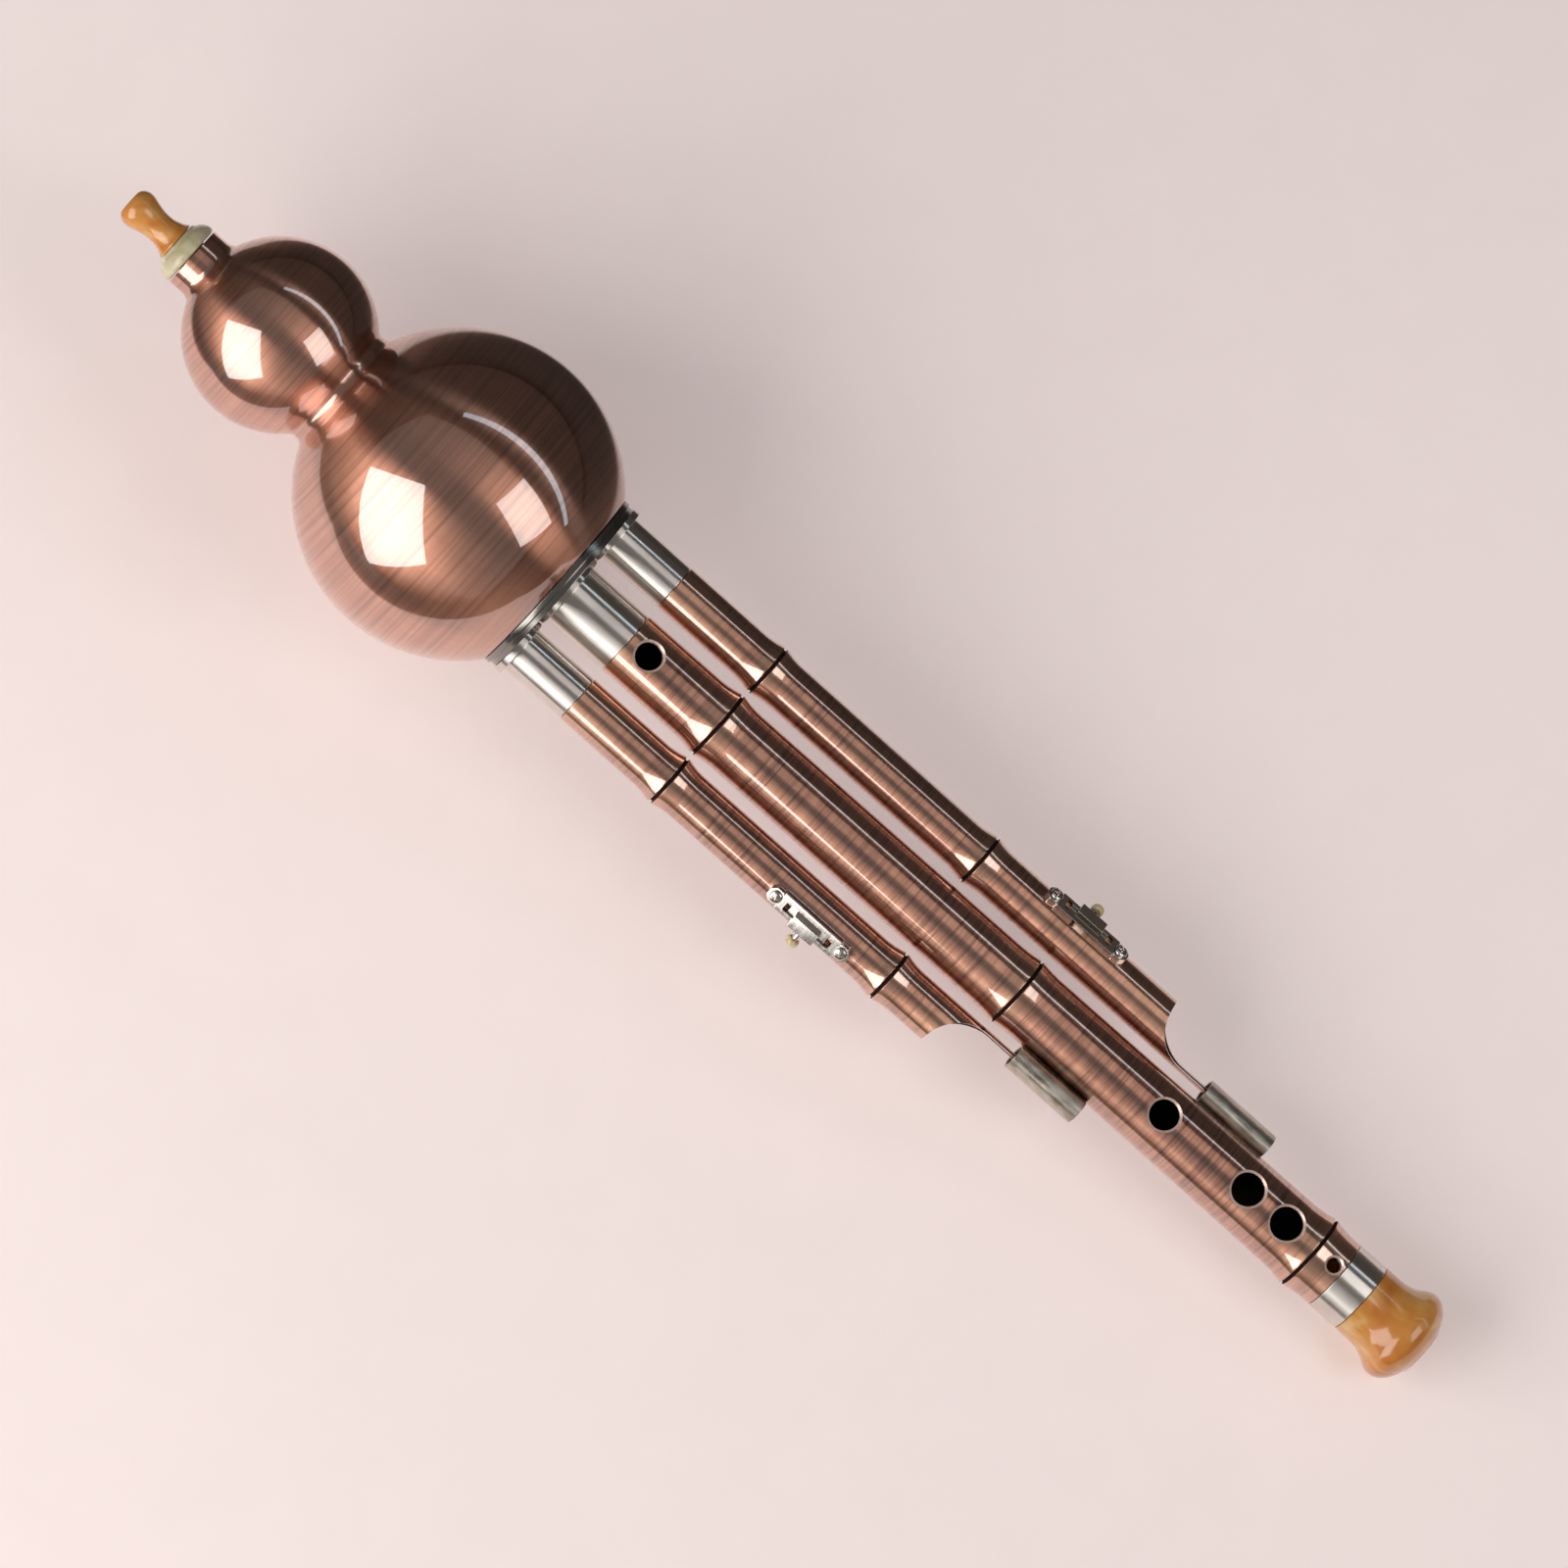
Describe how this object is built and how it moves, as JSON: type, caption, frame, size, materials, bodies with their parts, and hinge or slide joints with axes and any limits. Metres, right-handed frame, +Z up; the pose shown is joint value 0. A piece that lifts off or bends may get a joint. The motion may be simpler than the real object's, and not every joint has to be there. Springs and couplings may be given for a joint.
{
  "type": "hulusi",
  "caption": "Gourd flute in brushed red copper: a gourd-shaped wind chamber feeds a fingered pipe with a bell and drones with slide locks.",
  "frame": {"origin": "On the surface that the instrument lies on, under the middle of its bounding box.", "axes": "+X runs from the mouthpiece to the bell, +Y goes across to the long drone, +Z is up, on the side of the thumb hole. The pipes slope down to the bell by 5.2 degrees, as the large ball lifts them."},
  "size_m": [0.4232, 0.0818, 0.0819],
  "materials": {
    "copper": "brushed and lacquered red copper",
    "chrome": "polished",
    "satin_silver": "satin",
    "reed_copper": "bare",
    "brass": "bare",
    "amber_resin": "polished, marbled",
    "horn": "satin",
    "cork": "matte",
    "felt": "matte"
  },
  "bodies": {
    "wind_chamber": {"gourd_upper_shell": "copper", "gourd_lower_shell": "copper", "flange_plate": "chrome", "main_collar": "chrome", "main_reed_tube": "reed_copper", "main_reed_plate": "brass", "main_reed_bush": "cork", "long_collar": "chrome", "long_reed_tube": "reed_copper", "long_reed_plate": "brass", "long_reed_bush": "cork", "short_collar": "chrome", "short_reed_tube": "reed_copper", "short_reed_plate": "brass", "short_reed_bush": "cork"},
    "mouthpiece_unit": {"mouthpiece": "amber_resin", "mouthpiece_ring": "horn", "mouthpiece_cork": "cork"},
    "middle_pipe": {"main_pipe": "copper", "main_tenon": "brass", "main_tenon_cork": "cork", "tail_collar": "chrome", "bell": "amber_resin", "long_clip": "satin_silver", "short_clip": "satin_silver"},
    "long_drone": {"long_drone_pipe": "copper", "long_tenon": "brass", "long_tenon_cork": "cork", "long_lock_plate": "chrome", "long_lock_screw_front": "chrome", "long_lock_screw_rear": "chrome"},
    "short_drone": {"short_drone_pipe": "copper", "short_tenon": "brass", "short_tenon_cork": "cork", "short_lock_plate": "chrome", "short_lock_screw_front": "chrome", "short_lock_screw_rear": "chrome"},
    "long_lock": {"long_lock_slide": "chrome", "long_lock_pad": "felt", "long_lock_button": "amber_resin"},
    "short_lock": {"short_lock_slide": "chrome", "short_lock_pad": "felt", "short_lock_button": "amber_resin"}
  },
  "joints": [
    {"name": "mouthpiece_pull", "type": "slide", "parent": "wind_chamber", "child": "mouthpiece_unit", "axis": [-0.9959, 0, 0.0906], "range_m": [0, 0.006]},
    {"name": "middle_pipe_tuning", "type": "slide", "parent": "wind_chamber", "child": "middle_pipe", "axis": [0.9959, 0, -0.0906], "range_m": [0, 0.005]},
    {"name": "long_drone_tuning", "type": "slide", "parent": "wind_chamber", "child": "long_drone", "axis": [0.9959, 0, -0.0906], "range_m": [0, 0.005]},
    {"name": "short_drone_tuning", "type": "slide", "parent": "wind_chamber", "child": "short_drone", "axis": [0.9959, 0, -0.0906], "range_m": [0, 0.005]},
    {"name": "long_lock_travel", "type": "slide", "parent": "long_drone", "child": "long_lock", "axis": [0.9959, 0, -0.0906], "range_m": [-0.0024, 0.0024]},
    {"name": "short_lock_travel", "type": "slide", "parent": "short_drone", "child": "short_lock", "axis": [0.9959, 0, -0.0906], "range_m": [-0.0024, 0.0024]}
  ]
}
